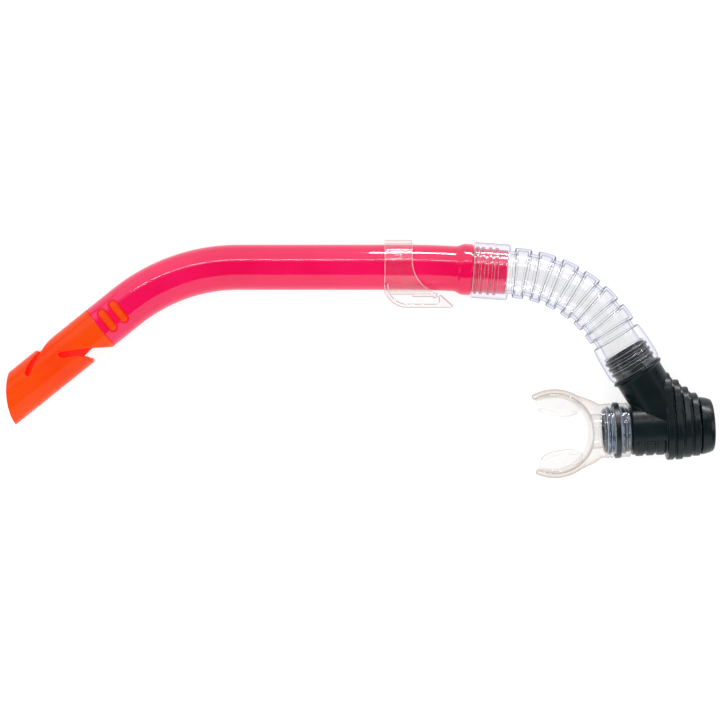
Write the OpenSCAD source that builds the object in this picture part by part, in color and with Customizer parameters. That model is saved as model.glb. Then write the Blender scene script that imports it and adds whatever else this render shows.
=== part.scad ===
// Snorkel tube lying on its side: rigid barrel with a splash guard at the top,
// a sliding strap keeper, a corrugated hose, a purge body and a mouthpiece.
// Millimetres. +X runs from the splash guard to the purge end, +Z is up,
// the origin is under the middle of the outline, on the surface it lies on.

/* [Barrel] */
// Outside diameter of the rigid tube
barrel_od = 25; // [23:0.5:28]
// Wall of the rigid tube
barrel_wall = 2; // [1.5:0.1:2.5]
// Straight length between the two bends
barrel_straight = 93; // [60:0.2:140]
// Radius of the large bend at the top, on the centre line
top_bend_r = 98; // [80:1:160]
// Angle of the large bend
top_bend_angle = 38.8; // [20:0.2:50]
// Length of tube past the large bend
top_end_length = 14.4; // [12:0.1:20]
// Angle of the slight bend at the hose end
low_bend_angle = 4; // [1:0.5:10]
// Radius of the slight bend at the hose end
low_bend_r = 430; // [200:10:600]
// Length of the plain spigot inside the hose cuff
spigot_length = 24.2; // [18:0.1:30]

/* [Splash guard] */
// Length outside the tube, on the short side
guard_short = 56.3; // [45:0.1:70]
// Extra length on the long side
guard_slant = 13.6; // [8:0.1:18]
// Wall of the guard
guard_wall = 2; // [1.6:0.1:3]

/* [Strap keeper] */
// Length of the ring round the tube
keeper_ring = 15.1; // [10:0.1:25]
// Width of the strap loop
keeper_width = 24; // [16:1:30]
// Depth of the loop below the tube axis
keeper_depth = 22.1; // [20:0.1:26]

/* [Hose] */
// Outside diameter over the crests
crest_od = 27.6; // [26:0.2:32]
// Outside diameter in the grooves
groove_od = 23.5; // [22.5:0.1:25]
// Bore of the hose
hose_bore = 20.6; // [19:0.1:21.6]
// Pitch of the crests along the bent centre line
hose_pitch = 11.5; // [10:0.1:14]
// Width of a groove
groove_w = 4.04; // [3:0.02:5]
// Bend of the hose from one groove to the next
groove_step = 9.6; // [4:0.1:12]
// Length of the upper cuff
upper_cuff = 19.6; // [15:0.1:30]
// Length of the lower cuff
lower_cuff = 21.4; // [15:0.1:30]
// Outside diameter of the cuffs
cuff_od = 30.6; // [29:0.1:34]

/* [Purge body] */
// Outside diameter of the branch to the hose
branch_od = 26.8; // [25:0.1:30]
// Outside diameter of the lower tube
lower_od = 28; // [26:0.1:31]
// Pitch of the stepped ribs
rib_pitch = 4.8; // [4:0.1:6]
// Depth of the grooves between the ribs
rib_depth = 1.2; // [0.6:0.1:1.6]

/* [Mouthpiece] */
// Outside diameter of the neck
neck_od = 29.4; // [28:0.1:33]
// Width of the bite flange from wing to wing
bite_width = 48.8; // [40:0.2:58]
// Height of the bite flange
bite_height = 27; // [20:0.5:34]
// Thickness of the bite flange
bite_wall = 2; // [1.4:0.1:3]

/* [Hidden] */
$fn = 96;
e = 0.01;
// the origin of the working frame, on the tube axis where the flare ends
lift = [55.45, 50.44, 17.3];
br = barrel_od / 2;
bi = br - barrel_wall;
hb = hose_bore / 2;
gr = groove_od / 2;
cr = crest_od / 2;
lip = 0.5;                       // wall of the sliding lips in a groove
spig_r = 11.9;                   // plain radius of the spigots
barb_r = 12.9;                   // radius over their ridges
fit_gap = 0.35;                  // running gap where pieces turn on each other
T1 = [-30 - barrel_straight, 0];
C1 = [T1[0], -top_bend_r];
// station on the straight end, a little past the bend, that the guard is drawn from
past = 3.5;
T2 = C1 + top_bend_r * [-sin(top_bend_angle), cos(top_bend_angle)]
        + past * [-cos(top_bend_angle), -sin(top_bend_angle)];
S0 = [-30 + low_bend_r * sin(low_bend_angle), -low_bend_r * (1 - cos(low_bend_angle))];

// headings below the horizontal at each groove, and the grooves' centres
th = [low_bend_angle, 11.4, 11.4 + groove_step, 11.4 + 2 * groove_step, 11.4 + 3 * groove_step,
      11.4 + 4 * groove_step - 0.2, 11.4 + 5 * groove_step - 1];
gh = [1.4, groove_w / 2, groove_w / 2, groove_w / 2, groove_w / 2, groove_w / 2, groove_w / 2];
G0 = S0 + 27.15 * [cos(th[0]), -sin(th[0])];
function half(k) = (k == 0 ? hose_pitch - 0.6 : hose_pitch) / 2 / cos((th[k + 1] - th[k]) / 2);
function hinge(k) = k == 0 ? G0 :
  hinge(k - 1) + half(k - 1) * [cos(th[k - 1]), -sin(th[k - 1])]
               + half(k - 1) * [cos(th[k]), -sin(th[k])];
branch_at = 23.8;                // the shoulder of the branch, past the last groove
// lower tube: a point on its axis and its tilt
L0 = [84.15, -89.65];
tilt = 3.16;
ctr = -33.3;                     // centre of the bite flange's arc on that axis

module along(p, a) translate([p[0], p[1], 0]) rotate([0, 0, a]) children();
module rev(pts) rotate([0, 90, 0]) rotate_extrude() polygon(pts);
module tube(r1, r2, a, b) rev([[r2, a], [r1, a], [r1, b], [r2, b]]);
module rod(r, a, b) rotate([0, 90, 0]) translate([0, 0, a]) cylinder(r = r, h = b - a);
module slab(w, a, b) translate([a, -w, -w]) cube([b - a, 2 * w, 2 * w]);
module place() translate(lift) children();
// an oblong seen along the axis of the tube, drawn in the plane of the cross-section
module oblong(w, l, h) linear_extrude(h) union() {
  square([w, l - w], center = true);
  translate([0, (l - w) / 2]) circle(w / 2, $fn = 32);
  translate([0, -(l - w) / 2]) circle(w / 2, $fn = 32);
}
module ridges(at, r0, r1) for (a = at)
  rev([[r0 - 0.4, a], [r1 - 0.5, a], [r1, a + 0.5], [r1, a + 1.1], [r0, a + 1.5], [r0 - 0.4, a + 1.5]]);

// ---- barrel ----
module tip_windows(w, l) for (s = [0, 180], u = [1, 8.7])
  rotate([s, 0, 0]) translate([u, 0, 8]) oblong(w, l, 6);

// a bend of radius R, its ends let a little way into the walls of the straight runs
module bend(R, a) {
  more = 0.3 / R * 57.3;
  rotate([0, 0, 90 - more]) rotate_extrude(angle = a + 2 * more, $fn = R > 200 ? 360 : 140)
    translate([R, 0]) difference() { circle(br - 0.01, $fn = 64); circle(bi + 0.01, $fn = 64); }
}
module barrel() color([0.93, 0.13, 0.42]) place() {
  $fn = 64;
  difference() {
    union() {
      along(T2, 180 + top_bend_angle) tube(bi, br, -past, top_end_length);
      translate([C1[0], C1[1], 0]) bend(top_bend_r, top_bend_angle);
      along([-30, 0], 0) tube(bi, br, -barrel_straight, 0);
      translate([-30, -low_bend_r, 0]) rotate([0, 0, -low_bend_angle]) bend(low_bend_r, low_bend_angle);
      along(S0, -low_bend_angle) {
        // flare, bead and ridged spigot
        rev([[bi, 0], [br - 0.6, 0], [br - 0.6, -3.4], [br + 0.1, -3.4], [br + 0.9, -1.2], [14.0, -0.3],
          [14.1, 0.3], [14.1, 4.7], [13.7, 5.4], [spig_r, 5.4], [spig_r, spigot_length - 0.6],
          [spig_r - 0.6, spigot_length], [bi, spigot_length]]);
        ridges([7, 10.1, 14.1, 17.6], spig_r, barb_r);
      }
    }
    along(T2, 180 + top_bend_angle) tip_windows(5.7, 15.4);
  }
}

// ---- splash guard ----
function bez(a, b, c, n) = [for (i = [0:n]) let (t = i / n)
  a * (1 - t) * (1 - t) + b * 2 * t * (1 - t) + c * t * t];
// the hooked slot that opens on the long side, and the one that opens on the short side
low_notch = concat([[15.2, 14.5], [15.6, 12.8]], bez([16.6, 12.3], [21, 9.2], [25.8, 5.6], 6),
  bez([27.5, 4.4], [33, 1.6], [38.6, -2.1], 5), bez([41.2, -2.7], [42.4, -0.9], [40.6, 0.9], 5),
  bez([38.6, 2.1], [33.2, 4.6], [31.2, 7.2], 6), bez([30.2, 8.9], [28.2, 10.6], [28.7, 11.7], 4),
  [[29.8, 12.7], [29.8, 14.5]]);
top_notch = concat([[36.6, -14.5], [37.2, -12.7]], bez([40.5, -12.1], [45, -11.4], [48.7, -9.3], 5),
  bez([50.6, -8.4], [55, -6.4], [59.4, -3.7], 5), bez([61.4, -3.0], [63.2, -4.6], [61.6, -6.1], 5),
  bez([59, -7.7], [55, -9.5], [51.6, -9.8], 5), bez([49.7, -10.2], [48.9, -11.6], [50.4, -12.2], 4),
  [[52.4, -12.7], [52.4, -14.5]]);
module splash_guard() color([1, 0.33, 0.03]) place() along(T2, 180 + top_bend_angle) {
  long_len = guard_short + guard_slant;
  difference() {
    intersection() {
      rev([[8.8, -3.8], [9.6, -3.8], [bi - 0.15, -3.2], [bi - 0.15, top_end_length + 0.15],
        [br, top_end_length + 0.15], [br, 90], [br - guard_wall, 90], [br - guard_wall, 20], [8.8, 17]]);
      // the oblique end, slightly rounded
      translate([(top_end_length + guard_short + top_end_length + long_len) / 2 - 62.3 * cos(30.6) + 1.35,
        62.3 * sin(30.6), 0]) translate([0, 0, -20]) cylinder(r = 62.3, h = 40);
    }
    translate([0, 0, -20]) linear_extrude(40) polygon(low_notch);
    translate([0, 0, -20]) linear_extrude(40) polygon(top_notch);
  }
  // lugs that lock into the windows of the tube
  intersection() {
    tube(bi - 0.3, br - 0.1, -6, 18);
    tip_windows(5.2, 14.9);
  }
  // inner vane that turns the splash
  translate([0, 0, -0.6]) linear_extrude(1.2) polygon([
    [25, -br + 1.8], [55, -br + 1.8], [68.5, -8.4], [68.5, 5.6], [62, 7.4], [48, 7.4], [36, 7], [25, 6]]);
}

// ---- strap keeper ----
function arc(c, r, a, b, n) = [for (i = [0:n]) c + r * [cos(a + (b - a) * i / n), sin(a + (b - a) * i / n)]];
module keeper() color([0.86, 0.9, 0.92, 0.5]) place() difference() {
  kx = -42.6;
  kw = keeper_width / 2;
  kd = -keeper_depth;
  ro = 15;
  t = 1.8;
  union() {
    // ring, with a longer lower half whose edge sweeps back
    difference() {
      rod(ro, kx, -14.6);
      translate([0, 0, -20]) linear_extrude(40) polygon(concat([[kx + keeper_ring, 30]],
        arc([kx + keeper_ring + 17.7, 3.1], 17.7, 180, 262, 20), [[10, -14.4], [10, 30]]));
    }
    // tongue under the tube, with a thicker end
    translate([-27, -16.1, -kw]) cube([12.6, 1.6, keeper_width]);
    translate([-15.6, -16.8, -kw]) cube([1.9, 2.4, keeper_width]);
    // outer strip and its hooked end
    translate([0, 0, -kw]) linear_extrude(keeper_width) polygon(concat([[-42.9, -5]],
      arc([-30, kd + 12.9], 12.9, 180, 270, 18),
      [[-5.6, kd], [-5.2, kd + 0.6], [-5.5, kd + 1.2], [-11.9, -15.3], [-12.4, -15.2], [-12.7, -15.7],
       [-12.4, kd + 3.2], [-12.9, kd + 2.2], [-14, kd + t]],
      arc([-30, kd + 12.9], 12.9 - t, 270, 180, 18), [[-42.9 + t, -5]]));
    // small stiffening pip beside the ring
    translate([-35, 6.7, 13.2]) sphere(r = 1.4, $fn = 32);
  }
  rod(13.25, -60, 0);
}

// ---- hose ----
// an outer lip looks back over each groove, an inner lip reaches forward under it
module soften(g) rev([[0, g], [cr - 0.8, g], [cr + 3, g + 2.7], [cr + 3, g + 14], [0, g + 14]]);
module hose_ring(i) color([0.86, 0.88, 0.95, 0.5]) place() {
  k = i - 1;
  a = th[i] - th[k];
  rb = half(k) / tan(a / 2);     // radius of the centre line through the ring
  difference() {
    union() {
      intersection() {
        along(hinge(k), -th[k]) translate([0, -rb, 0]) rotate([0, 0, 88 - a])
          rotate_extrude(angle = a + 4, $fn = 240) translate([rb, 0]) difference() { circle(cr); circle(hb + 0.15); }
        along(hinge(k), -th[k]) soften(gh[k]);
        along(hinge(i), -th[i]) mirror([1, 0, 0]) soften(gh[i]);
      }
      along(hinge(k), -th[k]) tube(gr - lip - 0.25, gr, -0.4, gh[k] + 0.7);
      along(hinge(i), -th[i]) tube(hb, hb + lip + 0.25, -gh[i] - 0.7, 0.6);
    }
    along(hinge(k), -th[k]) rod(gr - lip, -3, gh[k] + 1.1);
    along(hinge(i), -th[i]) tube(hb + lip, gr + 0.4, -gh[i] - 1.1, 2);
  }
}
module hose_upper_cuff() color([0.86, 0.88, 0.95, 0.5]) place() along(S0, -low_bend_angle) {
  c0 = 5.8; c1 = 27.15 - gh[0]; R = cuff_od / 2;
  difference() {
    rev([[spig_r + fit_gap, c0], [R - 0.7, c0], [R, c0 + 0.7], [R, c1 - 3.2], [R - 0.7, c1 - 1.1],
      [R - 2.2, c1 - 0.2], [R - 3, c1], [gr + 0.4, c1], [gr + 0.4, c1 - 0.7], [hb + lip, c1 - 0.7],
      [hb + lip, c1 + gh[0] + 0.6], [hb, c1 + gh[0] + 0.6], [hb, spigot_length + 0.4],
      [spig_r + fit_gap, spigot_length + 0.4]]);
    for (a = [7, 10.1, 14.1, 17.6]) tube(spig_r, barb_r + fit_gap, a - 0.45, a + 1.95);
  }
}
module hose_lower_cuff() color([0.86, 0.88, 0.95, 0.5]) place() along(hinge(6), -th[6]) {
  g = gh[6]; R = cuff_od / 2 - 0.3; c1 = branch_at - 0.35;
  difference() {
    rev([[gr - lip, -0.4], [gr, -0.4], [gr, g], [cr - 0.5, g], [cr + 0.2, g + 0.6], [R - 0.3, g + 8],
      [R, g + 12], [R, c1 - 3], [R - 0.5, c1 - 0.6], [R - 1.1, c1], [spig_r + fit_gap, c1],
      [spig_r + fit_gap, 10.2], [hb + 0.4, 10.2], [hb, g + 3], [hb, g + 1.5], [gr - lip, g + 1.1]]);
    for (a = [12, 15.4, 18.8]) tube(spig_r, barb_r + fit_gap, a - 0.45, a + 1.95);
  }
}

// ---- purge body ----
// an upright egg: circle r1 at height h1 and circle r2 at height h2, tangents between them
module egg(r1, h1, r2, h2) {
  d = h2 - h1;
  a = acos((r1 - r2) / d);
  union() {
    translate([h1, 0]) circle(r1);
    translate([h2, 0]) circle(r2);
    polygon([[h1 + r1 * cos(a), r1 * sin(a)], [h2 + r2 * cos(a), r2 * sin(a)],
      [h2 + r2 * cos(a), -r2 * sin(a)], [h1 + r1 * cos(a), -r1 * sin(a)]]);
  }
}
// a slice of the body between two stations along the lower axis, height toward +Y
module slice(a, b) translate([a, 0, 0]) rotate([90, 0, 90]) linear_extrude(b - a)
  children();
rib = [[16.3, -1.6, 12.0, 18.2], [16.3, -1.6, 12.0, 14.2], [16.1, -0.9, 12.4, 9.6], [15.9, -0.6, 13.4, 5.0]];
r0 = 27.6;
module purge_body() color([0.08, 0.12, 0.14]) place() difference() {
  d = rib_depth;
  union() {
    along(hinge(6), -th[6]) {
      rod(branch_od / 2, branch_at - e, branch_at + 36.5);
      rev([[9.8, 10.6], [spig_r - 0.6, 10.6], [spig_r, 11.2], [spig_r, branch_at], [14.2, branch_at],
        [14.8, branch_at + 0.4], [14.8, branch_at + 1.2], [13.6, branch_at + 2.2], [9.8, branch_at + 2.2]]);
      ridges([12, 15.4, 18.8], spig_r, barb_r);
    }
    along(L0, tilt) {
      rod(lower_od / 2, 8.6, 33);
      intersection() {
        for (w = [15.4, 21.2, 26.8]) tube(9, lower_od / 2 + 0.9, w - 4.9, w - 0.9);
        translate([0, -30, -30]) cube([60, 22.6, 60]);
      }
      for (i = [0:3]) {
        p = rib[i];
        slice(r0 + i * rib_pitch, r0 + i * rib_pitch + 3.5) egg(p[0], p[1], p[2], p[3]);
        slice(r0 + i * rib_pitch + 3.4, r0 + (i + 1) * rib_pitch + (i == 3 ? -0.7 : e))
          egg(p[0] - d, p[1], p[2] - d - (i == 3 ? 0 : 1.4), p[3]);
      }
      rev([[9.4, -6.2], [spig_r - 0.6, -6.2], [spig_r, -5.6], [spig_r, 9], [9.4, 9]]);
      ridges([-4.6, -0.6, 3.4], spig_r, barb_r);
    }
  }
  along(hinge(6), -th[6]) rod(10.2, 0, branch_at + 37);
  along(L0, tilt) {
    rod(10.2, -20, 36);
    rod(13, 36.6, 60);
    rod(10.2, 30, 40);
  }
}
module purge_valve_seat() color([0.12, 0.15, 0.17]) place() along(L0, tilt) {
  tube(10.1, 12.9, 36.75, 38.7);
  tube(1.7, 3.4, 36.9, 38.6);
  for (a = [0:45:315]) rotate([a, 0, 0]) translate([36.9, 3, -0.7]) cube([1.6, 7.8, 1.4]);
}
module purge_valve() color([0.85, 0.86, 0.88, 0.6]) place() along(L0, tilt)
  rev([[0, 34.2], [0.6, 34.2], [2.3, 35], [2.3, 35.2], [1.3, 35.2], [1.3, 39.05], [11.6, 39.05],
    [11.8, 39.3], [11.6, 39.6], [4, 40.1], [0, 40.3]]);
module purge_cap() color([0.09, 0.13, 0.15]) place() along(L0, tilt) difference() {
  union() {
    rev([[11.7, 42.6], [12.9, 42.6], [12.9, 46.35], [15.7, 46.35], [15.8, 46.7], [15.7, 48.2],
      [15.0, 51.2], [14.3, 52.9], [13.4, 53.5], [11.4, 53.5], [11.4, 50.5], [11.7, 50]]);
    rod(11.6, 51.4, 53);
  }
  for (i = [-2:2]) translate([50, 0, i * 4.2]) rotate([0, 90, 0])
    oblong(2.6, 2 * sqrt(100 - pow(i * 4.2, 2)), 6);
}

// ---- mouthpiece ----
module mouthpiece() color([0.97, 0.94, 0.9, 0.5]) place() along(L0, tilt) {
  R = neck_od / 2;
  W = bite_width / 2;            // outer reach of the wings from the axis
  hz = bite_height / 2;
  sag = 2.6;                     // bulge of the flange over its height
  ra = (hz * hz + sag * sag) / (2 * sag);
  difference() {
    union() {
      // bite flange: a strip bulged in height and swept round an arc
      intersection() {
        translate([ctr, 0, 0]) rotate([0, 0, -118]) rotate_extrude(angle = 236)
          intersection() {
            translate([W - ra, 0]) difference() { circle(ra); circle(ra - bite_wall); }
            translate([10, -hz]) square([20, 2 * hz]);
          }
        // rounded wing ends
        translate([0, 40, 0]) rotate([90, 0, 0]) linear_extrude(80) union() {
          translate([-35.6, -hz]) square([40, 2 * hz]);
          translate([-44.6, -hz + 9]) square([40, 2 * hz - 18]);
          translate([-35.6, hz - 9]) circle(9);
          translate([-35.6, 9 - hz]) circle(9);
        }
      }
      // bite tabs with a raised inner edge
      for (s = [0, 180]) rotate([s, 0, 0]) intersection() {
        union() {
          translate([0, 0, -1.5]) linear_extrude(3) polygon(concat([[-19, 16.5], [-18.6, 12]],
            bez([-20.5, 10.4], [-24, 8.4], [-30, 9.2], 5), bez([-35.2, 10], [-40.5, 11.6], [-42.6, 16], 5),
            [[-43, 24]]));
          translate([0, 0, -3.4]) linear_extrude(6.8) polygon(concat(bez([-20.5, 10.4], [-24, 8.4], [-30, 9.2], 5),
            bez([-35.2, 10], [-40, 11.4], [-41.4, 13.6], 5), bez([-39.6, 14.4], [-35, 12.2], [-30, 11.4], 5),
            [[-22.4, 12.2]]));
        }
        translate([ctr, 0, -20]) cylinder(r = W - 1.3, h = 40);
      }
      // neck and the cone that meets the flange
      difference() {
        rev([[9, 7.6], [R - 0.4, 7.6], [R, 7.2], [R, 2.2], [R - 0.6, 2.2], [R - 0.6, -0.9], [R, -0.9],
          [R, -8.2], [R + 0.9, -9.7], [17.1, -12], [18.5, -15.4], [20.1, -19], [20.1, -20], [9, -20]]);
        translate([ctr, 0, 0]) rotate_extrude() intersection() {
          translate([W - ra, 0]) circle(ra - bite_wall + 0.3);
          translate([0, -30]) square([60, 60]);
        }
        for (s = [-1, 1]) translate([-30, -40, s > 0 ? hz : -hz - 20]) cube([20.4, 80, 20]);
      }
      // beads round the neck
      for (w = [-4.7, -2.6, 3, 6.6]) rev([[R - 0.5, w - 0.6], [R + 0.3, w - 0.3], [R + 0.45, w],
        [R + 0.3, w + 0.3], [R - 0.5, w + 0.6]]);
    }
    rod(spig_r + fit_gap, -6.6, 20);
    rod(9.4, -20, 0);
    for (a = [-4.6, -0.6, 3.4]) tube(spig_r, barb_r + fit_gap, a - 0.45, a + 1.95);
  }
}
module mouthpiece_tie() color([0.05, 0.05, 0.06]) place() along(L0, tilt) {
  R = neck_od / 2 - 0.6;
  tube(R + 0.05, R + 1.3, -0.6, 1.9);
  // low lock on the far side
  difference() {
    translate([-1.4, -2.4, -17.3]) cube([3.7, 4.8, 4]);
    rod(R + 0.6, -5, 5);
    translate([-1.5, -3, -R - 0.05]) cube([0.9, 6, 4]);
    translate([1.9, -3, -R - 0.05]) cube([0.9, 6, 4]);
    rod(neck_od / 2 + 0.1, -5, -0.6);
    rod(neck_od / 2 + 0.1, 1.9, 5);
  }
}

barrel();
splash_guard();
keeper();
hose_upper_cuff();
hose_ring(1);  // hose_ring_1
hose_ring(2);  // hose_ring_2
hose_ring(3);  // hose_ring_3
hose_ring(4);  // hose_ring_4
hose_ring(5);  // hose_ring_5
hose_ring(6);  // hose_ring_6
hose_lower_cuff();
purge_body();
purge_valve_seat();
purge_valve();
purge_cap();
mouthpiece();
mouthpiece_tie();
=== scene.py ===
import bpy, bmesh, math
from mathutils import Vector, Matrix


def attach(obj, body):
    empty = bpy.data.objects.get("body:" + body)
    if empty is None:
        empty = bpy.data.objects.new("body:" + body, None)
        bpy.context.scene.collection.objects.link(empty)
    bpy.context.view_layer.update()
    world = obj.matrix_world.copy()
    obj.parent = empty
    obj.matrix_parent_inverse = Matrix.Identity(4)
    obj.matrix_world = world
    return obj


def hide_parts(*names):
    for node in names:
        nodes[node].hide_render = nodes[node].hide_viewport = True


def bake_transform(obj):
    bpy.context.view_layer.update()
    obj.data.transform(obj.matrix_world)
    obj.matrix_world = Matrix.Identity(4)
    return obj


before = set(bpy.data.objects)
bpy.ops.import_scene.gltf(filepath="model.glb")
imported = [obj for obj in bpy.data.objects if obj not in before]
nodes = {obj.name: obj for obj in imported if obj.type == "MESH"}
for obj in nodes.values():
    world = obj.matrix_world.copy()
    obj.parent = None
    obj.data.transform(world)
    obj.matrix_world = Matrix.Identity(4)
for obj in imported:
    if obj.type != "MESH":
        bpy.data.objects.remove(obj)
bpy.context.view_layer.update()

# ------------------------------------------------------------------ geometry of the design, millimetres
LIFT = (55.45, 50.44, 17.3)
MM = 0.001


def P(x, y, z=0.0):
    return Vector(((x + LIFT[0]) * MM, (y + LIFT[1]) * MM, (z + LIFT[2]) * MM))


def cs(a):
    return math.cos(math.radians(a)), math.sin(math.radians(a))


BR, BI, HB, GR, CR = 12.5, 10.5, 10.3, 11.75, 13.8
TH = [4, 11.4, 21, 30.6, 40.2, 49.6, 58.4]
GH = [1.4] + [2.02] * 6
c4, s4 = cs(4)
S0 = Vector((-30 + 430 * s4, -430 * (1 - c4)))
PITCH = 11.5


def half(k):
    return (PITCH - 0.6 if k == 0 else PITCH) / 2 / cs((TH[k + 1] - TH[k]) / 2)[0]


H = [S0 + 27.15 * Vector((c4, -s4))]
for k in range(1, 7):
    a0, a1 = cs(TH[k - 1]), cs(TH[k])
    H.append(H[-1] + half(k - 1) * Vector((a0[0] + a1[0], -a0[1] - a1[1])))
L0 = Vector((84.15, -89.65))
TILT = 3.16
T1 = Vector((-123, 0))
cb, sb = cs(38.8)
P2 = Vector((T1.x - 98 * sb - 3.5 * cb, -98 + 98 * cb - 3.5 * sb))


class Path:
    """a centre line of straight runs and arcs in the plane; arcs turn clockwise when the angle is positive"""

    def __init__(self, start, heading, runs):
        self.parts = []
        p, h, s = Vector(start), heading, 0.0
        for kind, *v in runs:
            if kind == "L":
                self.parts.append(("L", s, v[0], p.copy(), h, 0))
                p = p + v[0] * Vector(cs(h))
                s += v[0]
            else:
                R, a = v
                length = abs(math.radians(a)) * R
                self.parts.append(("A", s, length, p.copy(), h, R if a > 0 else -R))
                side = Vector((math.sin(math.radians(h)), -math.cos(math.radians(h)))) * (1 if a > 0 else -1)
                c = p + R * side
                h2 = h - a
                side2 = Vector((math.sin(math.radians(h2)), -math.cos(math.radians(h2)))) * (1 if a > 0 else -1)
                p = c - R * side2
                h = h2
                s += length
        self.length = s

    def at(self, s):
        for kind, s0, length, p, h, R in self.parts:
            if s <= s0 + length + 1e-9 or (kind, s0) == (self.parts[-1][0], self.parts[-1][1]):
                break
        t = s - s0
        if kind == "L":
            return p + t * Vector(cs(h)), h
        if t < 0:
            return p + t * Vector(cs(h)), h
        sign = 1 if R > 0 else -1
        a = math.degrees(t / abs(R)) * sign
        side = Vector((math.sin(math.radians(h)), -math.cos(math.radians(h)))) * sign
        c = p + abs(R) * side
        h2 = h - a
        side2 = Vector((math.sin(math.radians(h2)), -math.cos(math.radians(h2)))) * sign
        return c - abs(R) * side2, h2


def frames(path, s):
    p, h = path.at(s)
    c, sn = cs(h)
    return p, Vector((c, sn)), Vector((-sn, c))


def dense(pts, step):
    out = [pts[0]]
    for a, b in zip(pts, pts[1:]):
        n = max(1, int(math.ceil(abs(b[0] - a[0]) / step)))
        for i in range(1, n + 1):
            t = i / n
            out.append((a[0] + (b[0] - a[0]) * t, a[1] + (b[1] - a[1]) * t))
    return out


def rounded(pts, radius, n=4, closed=False):
    """round the corners of a polyline of (s, r)"""
    out = []
    N = len(pts)
    for i, p in enumerate(pts):
        if not closed and (i == 0 or i == N - 1):
            out.append(p)
            continue
        a, b, c = Vector(pts[i - 1]), Vector(p), Vector(pts[(i + 1) % N])
        r = radius[i] if isinstance(radius, (list, tuple)) else radius
        d1, d2 = (a - b), (c - b)
        l1, l2 = d1.length, d2.length
        if l1 < 1e-6 or l2 < 1e-6 or r <= 0:
            out.append(p)
            continue
        d1.normalize(), d2.normalize()
        ang = math.acos(max(-1, min(1, d1.dot(d2))))
        if ang > math.pi - 0.02:
            out.append(p)
            continue
        t = min(r / math.tan(ang / 2), 0.49 * l1, 0.49 * l2)
        A, C = b + d1 * t, b + d2 * t
        for j in range(n + 1):
            u = j / n
            q = A * (1 - u) ** 2 + b * 2 * u * (1 - u) + C * u * u
            out.append((q.x, q.y))
    return out


def new_object(name, bm, smooth=True, angle=None):
    me = bpy.data.meshes.new(name)
    bm.normal_update()
    bm.to_mesh(me)
    bm.free()
    ob = bpy.data.objects.new(name, me)
    bpy.context.collection.objects.link(ob)
    if smooth:
        for p in me.polygons:
            p.use_smooth = True
        if angle is not None:
            me.set_sharp_from_angle(angle=math.radians(angle))
    return ob


def surface(bm, path, prof, seg, flip=False, walls=0):
    """rows of verts round the path for a list of (s, r); returns the rings"""
    rings = []
    for s, r in prof:
        p, h, n = frames(path, s)
        ring = []
        for j in range(seg):
            a = 2 * math.pi * j / seg
            q = p + n * (r * math.cos(a))
            ring.append(bm.verts.new(P(q.x, q.y, r * math.sin(a))))
        rings.append(ring)
    for i, (a, b) in enumerate(zip(rings, rings[1:])):
        # the steep outer walls of the cuff ridges and the steep inner groove walls of the cuffs take index 3, the
        # painted highlight lines
        steep = walls if abs(prof[i + 1][1] - prof[i][1]) > abs(prof[i + 1][0] - prof[i][0]) else 0
        if steep == 1 and max(prof[i][1], prof[i + 1][1]) > 14.15:
            steep = 3
        if steep == 2 and prof[i][1] > HB + 1.8 and prof[i + 1][1] > HB + 1.8 and abs(prof[i][0]) > 5.5:
            steep = 3
        for j in range(seg):
            k = (j + 1) % seg
            f = (a[j], a[k], b[k], b[j])
            face = bm.faces.new(f if flip else tuple(reversed(f)))
            face.material_index = steep
    return rings


def revolved(name, path, loop, seg=96, closed=True, angle=35):
    """a closed loop of (s, r) swept round the path"""
    bm = bmesh.new()
    rings = surface(bm, path, loop, seg)
    if closed:
        a, b = rings[-1], rings[0]
        for j in range(seg):
            k = (j + 1) % seg
            bm.faces.new((b[j], b[k], a[k], a[j]))
    bmesh.ops.recalc_face_normals(bm, faces=bm.faces)
    return new_object(name, bm, angle=angle)


# ------------------------------------------------------------------ materials
def nt(name):
    m = bpy.data.materials.new(name)
    m.use_nodes = True
    t = m.node_tree
    b = t.nodes["Principled BSDF"]
    return m, t, b


def noise(t, scale, detail=3.0, rough=0.5, coords=None, dist=0.0):
    n = t.nodes.new("ShaderNodeTexNoise")
    n.inputs["Scale"].default_value = scale
    n.inputs["Detail"].default_value = detail
    n.inputs["Roughness"].default_value = rough
    n.inputs["Distortion"].default_value = dist
    if coords is not None:
        t.links.new(coords, n.inputs["Vector"])
    return n


def coord(t, scale=(1, 1, 1), rot=(0, 0, 0)):
    c = t.nodes.new("ShaderNodeTexCoord")
    m = t.nodes.new("ShaderNodeMapping")
    m.inputs["Scale"].default_value = scale
    m.inputs["Rotation"].default_value = rot
    t.links.new(c.outputs["Object"], m.inputs["Vector"])
    return m.outputs["Vector"]


def ramp(t, src, stops):
    r = t.nodes.new("ShaderNodeValToRGB")
    els = r.color_ramp.elements
    while len(els) > 1:
        els.remove(els[-1])
    els[0].position, els[0].color = stops[0][0], (*stops[0][1], 1)
    for p, c in stops[1:]:
        e = els.new(p)
        e.color = (*c, 1)
    t.links.new(src, r.inputs["Fac"])
    return r.outputs["Color"]


def remap(t, src, lo, hi, a=0.0, b=1.0):
    m = t.nodes.new("ShaderNodeMapRange")
    m.inputs["From Min"].default_value = a
    m.inputs["From Max"].default_value = b
    m.inputs["To Min"].default_value = lo
    m.inputs["To Max"].default_value = hi
    t.links.new(src, m.inputs["Value"])
    return m.outputs["Result"]


def bump(t, b, height, strength, distance):
    n = t.nodes.new("ShaderNodeBump")
    n.inputs["Strength"].default_value = strength
    n.inputs["Distance"].default_value = distance
    t.links.new(height, n.inputs["Height"])
    t.links.new(n.outputs["Normal"], b.inputs["Normal"])
    return n


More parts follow.
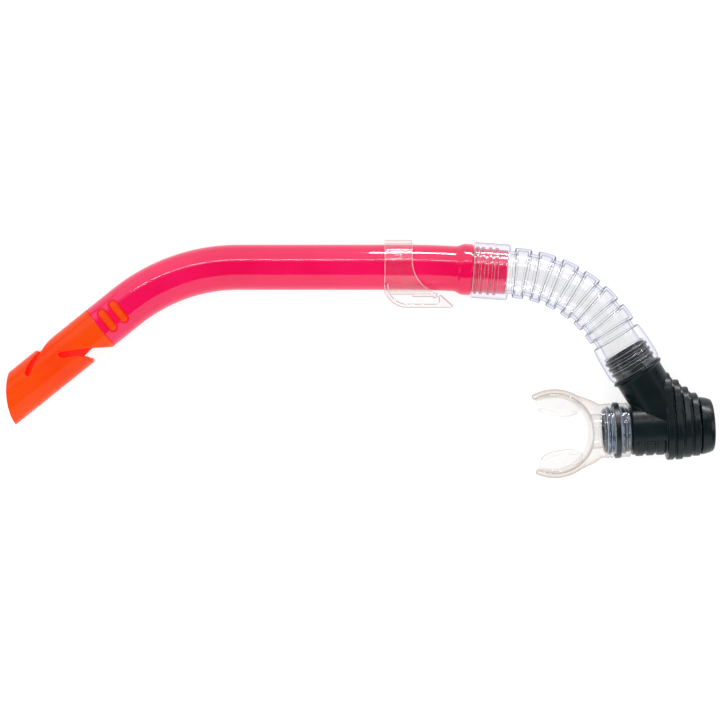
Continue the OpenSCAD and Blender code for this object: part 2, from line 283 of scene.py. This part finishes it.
def plastic(name, dark, light, rough=(0.1, 0.2), scratch=0.15, grain=900.0, ior=1.5, coat=0.0):
    """moulded plastic: faint clouding of the colour, flow lines, worn and dusty patches in the gloss, fine scratches"""
    m, t, b = nt(name)
    v = coord(t)
    big = noise(t, 28.0, 4.0, 0.55, v)
    col = ramp(t, big.outputs["Fac"], [(0.3, dark), (0.7, light)])
    t.links.new(col, b.inputs["Base Color"])
    wear = noise(t, 110.0, 6.0, 0.65, v, 0.4)
    r = remap(t, wear.outputs["Fac"], rough[0], rough[1], 0.35, 0.75)
    t.links.new(r, b.inputs["Roughness"])
    fine = noise(t, grain, 2.0, 0.5, v)
    sv = coord(t, (60, 2400, 2400), (0.2, 0.1, 0.35))
    scr = noise(t, 1.0, 1.0, 0.5, sv)
    add = t.nodes.new("ShaderNodeMath")
    add.operation = "MULTIPLY_ADD"
    t.links.new(scr.outputs["Fac"], add.inputs[0])
    add.inputs[1].default_value = 0.5
    t.links.new(fine.outputs["Fac"], add.inputs[2])
    bump(t, b, add.outputs[0], scratch, 0.00004)
    b.inputs["IOR"].default_value = ior
    if coat:
        b.inputs["Coat Weight"].default_value = coat
        b.inputs["Coat Roughness"].default_value = 0.03
    return m


def mathn(t, op, a, b=None, c=None):
    n = t.nodes.new("ShaderNodeMath")
    n.operation = op
    for i, v in enumerate((a, b, c)):
        if v is None:
            continue
        if isinstance(v, (int, float)):
            n.inputs[i].default_value = v
        else:
            t.links.new(v, n.inputs[i])
    return n.outputs[0]


def clear(name, stops, haze=(0.9, 0.92, 1.0), haze_lo=0.05, haze_hi=0.11, rough=0.05, f0=0.04, f1=0.35, bumps=0.2, cloud=0.05, streak=(300, 300, 300)):
    """clear soft plastic: straight-through light tinted where the wall is seen edge-on, a little milky haze,
    symmetric edge gloss with fine bumps, cloudy patches and handling wear"""
    m = bpy.data.materials.new(name)
    m.use_nodes = True
    t = m.node_tree
    t.nodes.clear()
    out = t.nodes.new("ShaderNodeOutputMaterial")
    v = coord(t)
    lw = t.nodes.new("ShaderNodeLayerWeight")
    lw.inputs["Blend"].default_value = 0.5
    facing = lw.outputs["Facing"]
    cl = noise(t, 70.0, 4.0, 0.6, v)
    shift = mathn(t, "MULTIPLY_ADD", cl.outputs["Fac"], cloud, facing)
    shift = mathn(t, "SUBTRACT", shift, cloud * 0.5)
    col = ramp(t, shift, stops)
    tr = t.nodes.new("ShaderNodeBsdfTransparent")
    t.links.new(col, tr.inputs["Color"])
    df = t.nodes.new("ShaderNodeBsdfDiffuse")
    df.inputs["Color"].default_value = (*haze, 1)
    df.inputs["Roughness"].default_value = 0.4
    hz = noise(t, 130.0, 5.0, 0.6, v, 0.5)
    hw = remap(t, hz.outputs["Fac"], haze_lo, haze_hi, 0.35, 0.7)
    m1 = t.nodes.new("ShaderNodeMixShader")
    t.links.new(hw, m1.inputs["Fac"])
    t.links.new(tr.outputs[0], m1.inputs[1])
    t.links.new(df.outputs[0], m1.inputs[2])
    gl = t.nodes.new("ShaderNodeBsdfGlossy")
    wr = noise(t, 160.0, 5.0, 0.6, v, 0.3)
    t.links.new(remap(t, wr.outputs["Fac"], rough * 0.7, rough * 1.8, 0.3, 0.8), gl.inputs["Roughness"])
    p4 = mathn(t, "POWER", facing, 4.0)
    fr = mathn(t, "MULTIPLY_ADD", p4, f1, f0)
    bn = t.nodes.new("ShaderNodeBump")
    bn.inputs["Strength"].default_value = bumps
    bn.inputs["Distance"].default_value = 0.0001
    fine = noise(t, 1.0, 3.0, 0.5, coord(t, streak))
    t.links.new(fine.outputs["Fac"], bn.inputs["Height"])
    t.links.new(bn.outputs["Normal"], gl.inputs["Normal"])
    m2 = t.nodes.new("ShaderNodeMixShader")
    t.links.new(fr, m2.inputs["Fac"])
    t.links.new(m1.outputs[0], m2.inputs[1])
    t.links.new(gl.outputs[0], m2.inputs[2])
    t.links.new(m2.outputs[0], out.inputs["Surface"])
    return m


def shade_through(m, weight, color):
    """light that soaks through a thin coloured wall"""
    t = m.node_tree
    b = t.nodes["Principled BSDF"]
    out = next(n for n in t.nodes if n.type == "OUTPUT_MATERIAL")
    tl = t.nodes.new("ShaderNodeBsdfTranslucent")
    tl.inputs["Color"].default_value = (*color, 1)
    mx = t.nodes.new("ShaderNodeMixShader")
    mx.inputs["Fac"].default_value = weight
    t.links.new(b.outputs[0], mx.inputs[1])
    t.links.new(tl.outputs[0], mx.inputs[2])
    t.links.new(mx.outputs[0], out.inputs["Surface"])


M_PINK = plastic("pink_gloss", (0.85, 0.003, 0.080), (0.93, 0.008, 0.108), rough=(0.02, 0.05), scratch=0.035)
# barrel cut edges: a darker red with a painted glow (emission) standing in for light coming through the thin pink wall
M_RIM_GLOW = plastic("pink_cut_edge", (0.62, 0.0, 0.010), (0.80, 0.002, 0.02), rough=(0.15, 0.3), scratch=0.1)
M_RIM_GLOW.node_tree.nodes["Principled BSDF"].inputs["Emission Color"].default_value = (0.75, 0.0, 0.012, 1)
M_RIM_GLOW.node_tree.nodes["Principled BSDF"].inputs["Emission Strength"].default_value = 0.45
M_ORANGE = plastic("orange_satin", (1.0, 0.058, 0.0), (1.0, 0.090, 0.0008), rough=(0.12, 0.22), scratch=0.1)
shade_through(M_ORANGE, 0.13, (1.0, 0.05, 0.0))
M_ORANGE.node_tree.nodes["Principled BSDF"].inputs["Specular IOR Level"].default_value = 0.22
# inside of the splash guard: painted shade (a deeper red than the outer orange) and a painted glow (emission) standing
# in for light through the thin orange wall
M_INNER_SHADE_GLOW = plastic("orange_inner", (1.0, 0.022, 0.0), (1.0, 0.038, 0.0), rough=(0.3, 0.45), scratch=0.15)
M_INNER_SHADE_GLOW.node_tree.nodes["Principled BSDF"].inputs["Emission Color"].default_value = (1.0, 0.012, 0.0, 1)
M_INNER_SHADE_GLOW.node_tree.nodes["Principled BSDF"].inputs["Emission Strength"].default_value = 0.16
M_BLACK = plastic("black_satin", (0.0020, 0.0064, 0.0080), (0.0055, 0.0140, 0.0160), rough=(0.24, 0.40), scratch=0.25, grain=1400.0)
M_BLACK2 = plastic("cap_satin", (0.0022, 0.0068, 0.0084), (0.0058, 0.0145, 0.0168), rough=(0.22, 0.38), scratch=0.25, grain=1400.0)
for m in (M_BLACK, M_BLACK2):
    m.node_tree.nodes["Principled BSDF"].inputs["Specular IOR Level"].default_value = 0.2
M_SEAT = plastic("seat_grey", (0.02, 0.024, 0.027), (0.035, 0.04, 0.045), rough=(0.35, 0.5), scratch=0.2)
M_TIE = plastic("tie_black", (0.003, 0.003, 0.004), (0.008, 0.008, 0.009), rough=(0.3, 0.45), scratch=0.2)
LILAC = [(0.0, (1.0, 1.0, 1.0)), (0.5, (0.98, 0.98, 0.992)), (0.72, (0.88, 0.88, 0.95)), (0.86, (0.62, 0.62, 0.80)), (1.0, (0.30, 0.31, 0.50))]
PEACH = [(0.0, (1.0, 1.0, 1.0)), (0.55, (0.99, 0.98, 0.975)), (0.75, (0.95, 0.92, 0.90)), (0.88, (0.78, 0.70, 0.68)), (1.0, (0.48, 0.40, 0.42))]
TAN = [(0.0, (0.995, 0.99, 0.985)), (0.5, (0.975, 0.96, 0.945)), (0.72, (0.92, 0.88, 0.84)), (0.88, (0.72, 0.65, 0.60)), (1.0, (0.45, 0.38, 0.36))]
WALL = [(0.0, (0.90, 0.91, 0.95)), (0.25, (0.66, 0.68, 0.76)), (0.55, (0.26, 0.28, 0.33)), (1.0, (0.03, 0.05, 0.06))]
WALL2 = [(0.0, (0.97, 0.97, 0.99)), (0.3, (0.84, 0.85, 0.93)), (0.6, (0.60, 0.62, 0.76)), (1.0, (0.30, 0.33, 0.45))]
EDGE = [(0.0, (1.0, 1.0, 1.0)), (0.6, (0.95, 0.94, 0.96)), (1.0, (0.75, 0.74, 0.80))]
M_HOSE = clear("hose_clear", LILAC, haze_lo=0.004, haze_hi=0.018, f0=0.035)
M_WALL = clear("hose_groove_wall", WALL, haze_lo=0.004, haze_hi=0.018, f0=0.035)
M_WALL2 = clear("hose_inner_wall", WALL2, haze_lo=0.004, haze_hi=0.018, f0=0.035)
# painted highlights: a strong haze on steep ridge and edge faces stands in for the light lines the gloss would catch
# there
M_LINE_HIGHLIGHT = clear("cuff_ridge_line", EDGE, haze=(0.95, 0.95, 1.0), haze_lo=0.42, haze_hi=0.62, f0=0.05)
M_NECK_HIGHLIGHT = clear("neck_ridge_line", EDGE, haze=(0.62, 0.74, 0.95), haze_lo=0.40, haze_hi=0.60, f0=0.05)
M_KEEP_HIGHLIGHT = clear("keeper_edge_line", EDGE, haze=(1.0, 0.97, 0.97), haze_lo=0.45, haze_hi=0.65, f0=0.05)
M_KEEP = clear("keeper_clear", PEACH, haze=(1.0, 0.97, 0.95), haze_lo=0.004, haze_hi=0.02, f0=0.035)
M_MOUTH = clear("mouthpiece_clear", TAN, haze=(0.80, 0.90, 1.0), haze_lo=0.012, haze_hi=0.04, f0=0.035)
M_VALVE = clear("valve_clear", PEACH)


def assign(ob, mat):
    ob.data.materials.clear()
    ob.data.materials.append(mat)


# ------------------------------------------------------------------ barrel
barrel_path = Path(P2 + 14.4 * Vector((-cb, -sb)), 38.8,
                   [("L", 17.9), ("A", 98, 38.8), ("L", 93), ("A", 430, 4), ("L", 24.2)])
BL = barrel_path.length
SE = BL - 24.2                      # station of the flare's end


def q(x):
    return SE + x


outer = [(0, BR - 0.25), (0.25, BR), (q(-3.8), BR), (q(-2.6), BR + 0.35), (q(-1.2), BR + 1.05), (q(0.0), 14.0),
         (q(0.6), 14.1), (q(4.6), 14.1), (q(5.2), 13.8), (q(5.45), 13.2), (q(5.5), 11.9)]
for a in (7, 10.1, 14.1, 17.6):
    outer += [(q(a), 11.9), (q(a + 0.12), 12.4), (q(a + 0.5), 12.85), (q(a + 0.75), 12.9), (q(a + 1.05), 12.86), (q(a + 1.45), 12.3), (q(a + 1.6), 11.9)]
outer += [(q(23.7), 11.9), (q(24.1), 11.6), (q(24.2), 11.3)]
inner = [(q(24.2), 10.7), (q(24.0), 10.5), (0.3, 10.5), (0, 10.8)]
bloop = dense(outer, 1.2) + dense(inner, 1.5)
barrel = revolved("barrel_tube", barrel_path, bloop, seg=128, angle=40)
assign(barrel, M_PINK)


def oblong_cutter(name, u, w, l, z0, z1, n=14, side=1):
    """an oblong prism square to the tube's plane at station u past the bend"""
    bm = bmesh.new()
    pts = []
    r = w / 2
    for i in range(n + 1):
        a = math.pi * i / n
        pts.append((r * math.cos(a), (l - w) / 2 + r * math.sin(a)))
    for i in range(n + 1):
        a = math.pi + math.pi * i / n
        pts.append((r * math.cos(a), -(l - w) / 2 + r * math.sin(a)))
    hx, hy = Vector((-cb, -sb)), Vector((sb, -cb))
    rows = []
    for z in (z0, z1):
        row = []
        for x, y in pts:
            p = P2 + hx * (u + x) + hy * y
            row.append(bm.verts.new(P(p.x, p.y, z * side)))
        rows.append(row)
    m = len(pts)
    for i in range(m):
        j = (i + 1) % m
        bm.faces.new((rows[0][i], rows[0][j], rows[1][j], rows[1][i]))
    bm.faces.new(rows[0])
    bm.faces.new(list(reversed(rows[1])))
    bmesh.ops.recalc_face_normals(bm, faces=bm.faces)
    return new_object(name, bm, smooth=False)


def boolean(ob, others, op="DIFFERENCE"):
    for o in others:
        md = ob.modifiers.new("b", "BOOLEAN")
        md.operation = op
        md.object = o
        md.solver = "EXACT"
    bpy.context.view_layer.update()
    dg = bpy.context.evaluated_depsgraph_get()
    me = bpy.data.meshes.new_from_object(ob.evaluated_get(dg))
    ob.modifiers.clear()
    ob.data = me
    for o in others:
        bpy.data.objects.remove(o, do_unlink=True)
    return ob


boolean(barrel, [oblong_cutter("c", u, 5.5, 15.2, 7, 14, side=s) for u in (1, 8.7) for s in (1, -1)])
for p in barrel.data.polygons:
    p.use_smooth = True
barrel.data.set_sharp_from_angle(angle=math.radians(38))
assign(barrel, M_PINK)
# the window walls and the barrel's cut end take the darker red with the painted glow
barrel.data.materials.append(M_RIM_GLOW)
for p in barrel.data.polygons:
    c = p.center / MM - Vector(LIFT)
    dx, dy = c.x - P2.x, c.y - P2.y
    u = -cb * dx - sb * dy
    if (-2.5 < u < 12.5 and abs(p.normal.z) < 0.2 and abs(c.z) > 7.2 and math.hypot(sb * dx - cb * dy, c.z) < 12.49) or u > 14.25:
        p.material_index = 1
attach(barrel, "barrel")
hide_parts("barrel")


# ------------------------------------------------------------------ hose
class HosePath:
    """straight through each groove, one arc through each ring; x is measured from groove k"""

    def __init__(self, k):
        self.k = k
        self.h = Vector(cs(-TH[k]))
        self.right = Vector((self.h.y, -self.h.x))
        self.fw = self.bw = None
        if k < 6:
            a = TH[k + 1] - TH[k]
            self.fw = ((half(k) - 2.02) / cs(a / 2)[0] * cs(a / 2)[0] / math.tan(math.radians(a / 2)), a)
        if k > 0:
            a = TH[k] - TH[k - 1]
            self.bw = ((half(k - 1) - 2.02) / math.tan(math.radians(a / 2)), a)
        self.xf = 2.02 + (self.fw[0] * math.radians(self.fw[1] / 2) if self.fw else 0)
        self.xb = -2.02 - (self.bw[0] * math.radians(self.bw[1] / 2) if self.bw else 0)

    def at(self, x):
        side = self.fw if x > 0 else self.bw
        t = abs(x) - 2.02
        if side is None or t <= 0:
            p = H[self.k] + x * self.h
            return p, -TH[self.k]
        R = side[0]
        b = t / R
        sg = 1 if x > 0 else -1
        p = H[self.k] + self.h * sg * (2.02 + R * math.sin(b)) + self.right * (R * (1 - math.cos(b)))
        return p, -TH[self.k] - sg * math.degrees(b)


SEG = 112


def hose_piece(name, k, first=None, last=None):
    path = HosePath(k)
    g = GH[k]
    w = 1.25
    if first is None:
        out = [(path.xb, CR), (-g, CR), (-g, GR)]
        inn = [(path.xb, CR - w), (-g - w, CR - w), (-g - w, HB)]
    else:
        out, inn = first
    if last is None:
        out = out + [(g, GR), (g, CR), (path.xf, CR)]
        inn = inn + [(g + w, HB), (g + w, CR - w), (path.xf, CR - w)]
    else:
        out = out + last[0]
        inn = inn + last[1]
    rad = [0.75 if r > GR + 0.5 else 0.4 for s, r in out]
    out = rounded(out, rad, 5)
    inn = rounded(inn, 0.45, 3)
    out, inn = dense(out, 0.7), dense(inn, 0.9)
    bm = bmesh.new()
    ro = surface(bm, path, out, SEG, walls=1)
    ri = surface(bm, path, inn, SEG, flip=True, walls=2)
    if first is not None:
        for j in range(SEG):
            n = (j + 1) % SEG
            bm.faces.new((ro[0][j], ro[0][n], ri[0][n], ri[0][j]))
    if last is not None:
        for j in range(SEG):
            n = (j + 1) % SEG
            bm.faces.new((ri[-1][j], ri[-1][n], ro[-1][n], ro[-1][j]))
    ob = new_object(name, bm, angle=50)
    for m in (M_HOSE, M_WALL, M_WALL2, M_LINE_HIGHLIGHT):
        ob.data.materials.append(m)
    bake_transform(ob)
    return ob


def cuff_grooves(at, lo, hi, inv=False):
    pts = []
    for a in at:
        pts += [(a - 0.25, lo), (a - 0.1, hi), (a + 1.7, hi), (a + 1.85, lo)]
    return pts


u0 = 27.15
first_out = [(5.8 - u0, 12.15), (5.8 - u0, 15.3), (25.6 - u0, 15.3), (25.6 - u0 + 0.15, GR)]
first_in = [(5.8 - u0, 12.15)] + [(a - u0, r) for a, r in cuff_grooves((7, 10.1, 14.1, 17.6), 12.15, 13.1)] + \
           [(24.5 - u0, 12.15), (24.5 - u0, HB)]
hose_piece("hose_1", 0, first=(first_out, first_in))
for k in range(1, 6):
    hose_piece(f"hose_{k + 1}", k)
RL = 15.0
last_out = [(2.02, GR), (2.02, 14.1), (4.5, 14.5), (9.0, 14.9), (14, RL), (20.4, RL), (23.4, 14.3), (23.42, 12.15)]
last_in = [(4.0, HB), (9.8, 10.8), (9.8, 12.15)] + cuff_grooves((12, 15.4, 18.8), 12.15, 13.1) + [(23.42, 12.15)]
hose_piece("hose_7", 6, last=(last_out, last_in))
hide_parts("hose_upper_cuff", "hose_ring_1")
for k in range(1, 6):
    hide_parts(f"hose_ring_{k + 1}")
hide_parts("hose_lower_cuff")

# ------------------------------------------------------------------ moulded pieces with rounded edges, made from the CAD solids
def moulded(node, name, mat, voxel=0.36, passes=3, factor=0.5):
    src = nodes[node]
    me = src.data.copy()
    me.transform(src.matrix_world)
    bm = bmesh.new()
    bm.from_mesh(me)
    bmesh.ops.remove_doubles(bm, verts=bm.verts, dist=0.000002)
    bm.to_mesh(me)
    bm.free()
    ob = bpy.data.objects.new(name, me)
    bpy.context.collection.objects.link(ob)
    md = ob.modifiers.new("r", "REMESH")
    md.mode = "VOXEL"
    md.voxel_size = voxel * MM
    md.use_smooth_shade = True
    sm = ob.modifiers.new("s", "SMOOTH")
    sm.factor = factor
    sm.iterations = passes
    bpy.context.view_layer.update()
    dg = bpy.context.evaluated_depsgraph_get()
    out = bpy.data.meshes.new_from_object(ob.evaluated_get(dg))
    ob.modifiers.clear()
    ob.data = out
    for p in out.polygons:
        p.use_smooth = True
    assign(ob, mat)
    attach(ob, frame_body[node])
    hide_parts(node)
    return ob


frame_body = {"mouthpiece": "mouth", "keeper": "keeper", "purge_body": "lower_body", "splash_guard": "barrel", "purge_cap": "lower_body"}
mouth = moulded("mouthpiece", "mouthpiece_moulded", M_MOUTH, 0.34, 4)
keeper = moulded("keeper", "keeper_moulded", M_KEEP, 0.3, 6)
body = moulded("purge_body", "purge_body_moulded", M_BLACK, 0.38, 3)
guard = moulded("splash_guard", "splash_guard_moulded", M_ORANGE, 0.32, 3)
cap = moulded("purge_cap", "purge_cap_moulded", M_BLACK2, 0.34, 2)



def mark(ob, mat, test):
    """a second material on the faces the test picks; it gets each face's centre and normal in the design frame, mm"""
    ob.data.materials.append(mat)
    i = len(ob.data.materials) - 1
    for p in ob.data.polygons:
        c = p.center / MM - Vector(LIFT)
        if test(c, p.normal):
            p.material_index = i


ct, st = cs(TILT)


def in_neck(c, n):
    x, y = c.x - L0.x, c.y - L0.y
    w, v = x * ct + y * st, -x * st + y * ct
    r = math.hypot(v, c.z)
    return -8.4 < w < 7 and abs(n.x * ct + n.y * st) > 0.45 and r > 12.0


def guard_inside_faces(c, n):
    dx, dy = c.x - P2.x, c.y - P2.y
    u, v = -cb * dx - sb * dy, sb * dx - cb * dy
    return u > 15.5 and (math.hypot(v, c.z) < 11.3 or abs(c.z) < 0.9) and u < 82


# faces in the guard's bore and on the vane get the painted shade and glow
mark(guard, M_INNER_SHADE_GLOW, guard_inside_faces)


def lug_rim_painted_shade(m, rim_shade_col):
    """a painted shade round the edge of each lock lug: the orange is mixed toward a deeper red in a band round each
    lug, standing in for the shade in the gap between lug and window; worked out from the position in the design frame
    """
    t = m.node_tree
    b = t.nodes["Principled BSDF"]
    link = b.inputs["Base Color"].links[0]
    src = link.from_socket
    tc = t.nodes.new("ShaderNodeTexCoord")
    axes = []
    for h in ((-cb, -sb), (sb, -cb)):
        d = t.nodes.new("ShaderNodeVectorMath")
        d.operation = "DOT_PRODUCT"
        t.links.new(tc.outputs["Object"], d.inputs[0])
        d.inputs[1].default_value = (h[0] / MM, h[1] / MM, 0)
        o = P(P2.x, P2.y)
        axes.append(mathn(t, "SUBTRACT", d.outputs["Value"], (h[0] * o.x + h[1] * o.y) / MM))
    u, v = axes
    vv = mathn(t, "MAXIMUM", mathn(t, "SUBTRACT", mathn(t, "ABSOLUTE", v), 4.85), 0.0)
    v2 = mathn(t, "MULTIPLY", vv, vv)
    ds = []
    for u0 in (1, 8.7):
        du = mathn(t, "SUBTRACT", u, u0)
        ds.append(mathn(t, "SQRT", mathn(t, "MULTIPLY_ADD", du, du, v2)))
    near = mathn(t, "MINIMUM", ds[0], ds[1])
    ring = remap(t, near, 0.0, 1.0, 1.2, 1.9)
    ring = mathn(t, "MULTIPLY", ring, mathn(t, "LESS_THAN", near, 3.0))
    mx = t.nodes.new("ShaderNodeMix")
    mx.data_type = "RGBA"
    t.links.new(ring, mx.inputs[0])
    t.links.new(src, mx.inputs[6])
    mx.inputs[7].default_value = (*rim_shade_col, 1)
    t.links.new(mx.outputs[2], b.inputs["Base Color"])


# painted shade: the deep red that the band round each lug is mixed toward
lug_rim_painted_shade(M_ORANGE, (1.0, 0.016, 0.001))
# painted highlight: a pale blue haze on the steep bead faces of the mouthpiece neck
mark(mouth, M_NECK_HIGHLIGHT, in_neck)
# painted highlight: a white haze on the keeper's edge faces
mark(keeper, M_KEEP_HIGHLIGHT, lambda c, n: abs(n.x) > 0.3 and c.y > -15.5 and math.hypot(c.y, c.z) > 13.3)

# ------------------------------------------------------------------ carried-over CAD nodes
for n, mat in (("purge_valve_seat", M_SEAT), ("purge_valve", M_VALVE), ("mouthpiece_tie", M_TIE)):
    assign(nodes[n], mat)

# ------------------------------------------------------------------ stage, lights, camera
world = bpy.data.worlds.new("studio")
bpy.context.scene.world = world
world.use_nodes = True
wt = world.node_tree
bg = wt.nodes["Background"]
bg.inputs["Color"].default_value = (1, 1, 1, 1)
lp = wt.nodes.new("ShaderNodeLightPath")
mx = wt.nodes.new("ShaderNodeMapRange")
mx.inputs["To Min"].default_value = 0.80
mx.inputs["To Max"].default_value = 0.025
wt.links.new(lp.outputs["Is Glossy Ray"], mx.inputs["Value"])
wt.links.new(mx.outputs["Result"], bg.inputs["Strength"])

bm = bmesh.new()
bmesh.ops.create_grid(bm, x_segments=1, y_segments=1, size=3.0)
floor = new_object("floor", bm, smooth=False)
fm, ft, fb = nt("floor_white")
fv = coord(ft)
fn = noise(ft, 3.0, 3.0, 0.5, fv)
fb.inputs["Roughness"].default_value = 0.9
ft.links.new(ramp(ft, fn.outputs["Fac"], [(0.3, (0.30, 0.30, 0.305)), (0.7, (0.32, 0.32, 0.32))]), fb.inputs["Base Color"])
fb.inputs["Emission Color"].default_value = (1, 1, 1, 1)
fb.inputs["Emission Strength"].default_value = 0.80
fb.inputs["Specular IOR Level"].default_value = 0.0
assign(floor, fm)
floor.location.z = -0.0002


def area(name, loc, target, sx, sy, power, col=(1, 1, 1), diffuse=True, glossy=True):
    l = bpy.data.lights.new(name, "AREA")
    l.shape = "RECTANGLE"
    l.size, l.size_y = sx, sy
    l.energy = power
    l.color = col
    o = bpy.data.objects.new(name, l)
    bpy.context.collection.objects.link(o)
    o.location = loc
    d = Vector(target) - Vector(loc)
    o.rotation_euler = d.to_track_quat("-Z", "Y").to_euler()
    o.visible_camera = False
    o.visible_diffuse = diffuse
    o.visible_glossy = glossy
    return o


# a long thin strip low on the +Y side, a fainter one higher, and a wide card on the -Y side
def radiance(L, sx, sy):
    return L * sx * sy * math.pi


def strip(name, elev, side, dist, width, length, L, **kw):
    e = math.radians(elev)
    x = kw.pop("x", 0.0)
    loc = (x, side * dist * math.cos(e), dist * math.sin(e) + 0.017)
    return area(name, loc, (x, 0, 0.017), length, width, radiance(L, width, length), **kw)


strip("strip_low", 13, 1, 1.4, 0.20, 1.30, 34.0, diffuse=False, x=0.66)
strip("card_up", 25.5, 1, 1.75, 1.68, 3.6, 1.5, diffuse=False, col=(1.0, 0.86, 1.0))
strip("card_up2", 57, 1, 1.75, 0.28, 3.4, 0.55, diffuse=False)
strip("strip_high", 52, 1, 1.6, 0.045, 1.8, 25.0, diffuse=False)
area("side_r", (1.5, 0, 0.55), (0, 0, 0.0), 0.75, 1.3, radiance(3.0, 0.75, 1.3), diffuse=False)
area("side_l", (-1.5, 0, 0.55), (0, 0, 0.0), 0.75, 1.3, radiance(2.0, 0.75, 1.3), diffuse=False)
strip("card", 25.7, -1, 1.6, 1.52, 3.2, 1.25, diffuse=False)
area("top", (0, 0, 2.2), (0, 0, 0), 2.4, 2.4, 16.0, glossy=False)

cam = bpy.data.cameras.new("camera")
cam.sensor_width = 36
cam.lens = 36 * 1300 / 396.0
cam.clip_end = 20
co = bpy.data.objects.new("camera", cam)
bpy.context.collection.objects.link(co)
co.location = (-0.00065, -0.000545, 1.3 + 0.0173)
co.rotation_euler = (0, 0, 0)
bpy.context.scene.camera = co
bpy.context.scene.view_settings.view_transform = "Standard"
